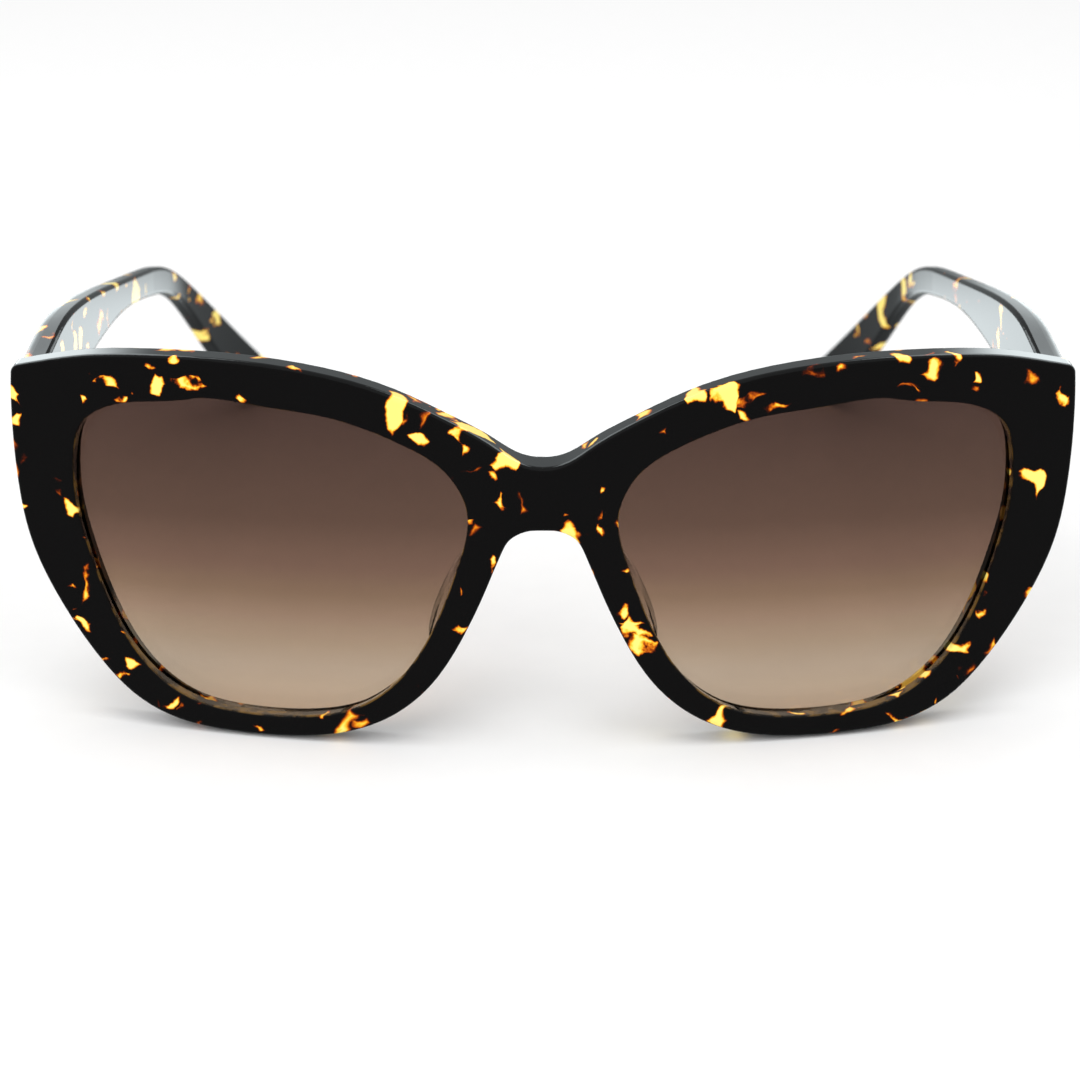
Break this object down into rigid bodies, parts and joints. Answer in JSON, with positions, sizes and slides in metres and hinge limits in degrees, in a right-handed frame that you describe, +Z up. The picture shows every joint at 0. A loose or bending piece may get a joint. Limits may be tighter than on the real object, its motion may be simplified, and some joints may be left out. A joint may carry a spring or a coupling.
{
  "type": "cat eye sunglasses",
  "caption": "Cat eye sunglasses with a tortoiseshell acetate frame, brown gradient lenses and temples that fold flat on sunk barrel hinges.",
  "frame": {"origin": "on the plane the glasses rest on, in their middle plane, directly under the front face of the bridge", "axes": "+X towards the wearer's left, +Y back along the temples, +Z up from the table; the glasses stand on their rims and temple tips with the temples open"},
  "size_m": [0.1436, 0.1461, 0.0523],
  "materials": {
    "acetate": "polished tortoiseshell acetate, near-black with amber flakes",
    "lens": "polished plastic, brown gradient tint, darker at the top",
    "clear_acetate": "clear polished acetate",
    "hinge_metal": "plated nickel silver, satin",
    "screw_metal": "stainless steel, polished",
    "core_metal": "drawn nickel silver"
  },
  "bodies": {
    "front": {"front_frame": "acetate", "lens_left": "lens", "lens_right": "lens", "nose_pad_left": "clear_acetate", "nose_pad_right": "clear_acetate", "front_hinge_left": "hinge_metal", "front_hinge_right": "hinge_metal", "hinge_screw_left": "screw_metal", "hinge_screw_right": "screw_metal"},
    "temple_left": {"temple_left": "acetate", "temple_hinge_left": "hinge_metal", "core_wire_left": "core_metal"},
    "temple_right": {"temple_right": "acetate", "temple_hinge_right": "hinge_metal", "core_wire_right": "core_metal"}
  },
  "joints": [
    {"name": "temple_left_fold", "type": "hinge", "parent": "front", "child": "temple_left", "pos_m": [0.06569, 0.01911, 0.04161], "axis": [0, 0.0905, 0.9959], "range_deg": [0, 83]},
    {"name": "temple_right_fold", "type": "hinge", "parent": "front", "child": "temple_right", "pos_m": [-0.06569, 0.01911, 0.04161], "axis": [0, -0.0905, -0.9959], "range_deg": [0, 77]}
  ]
}
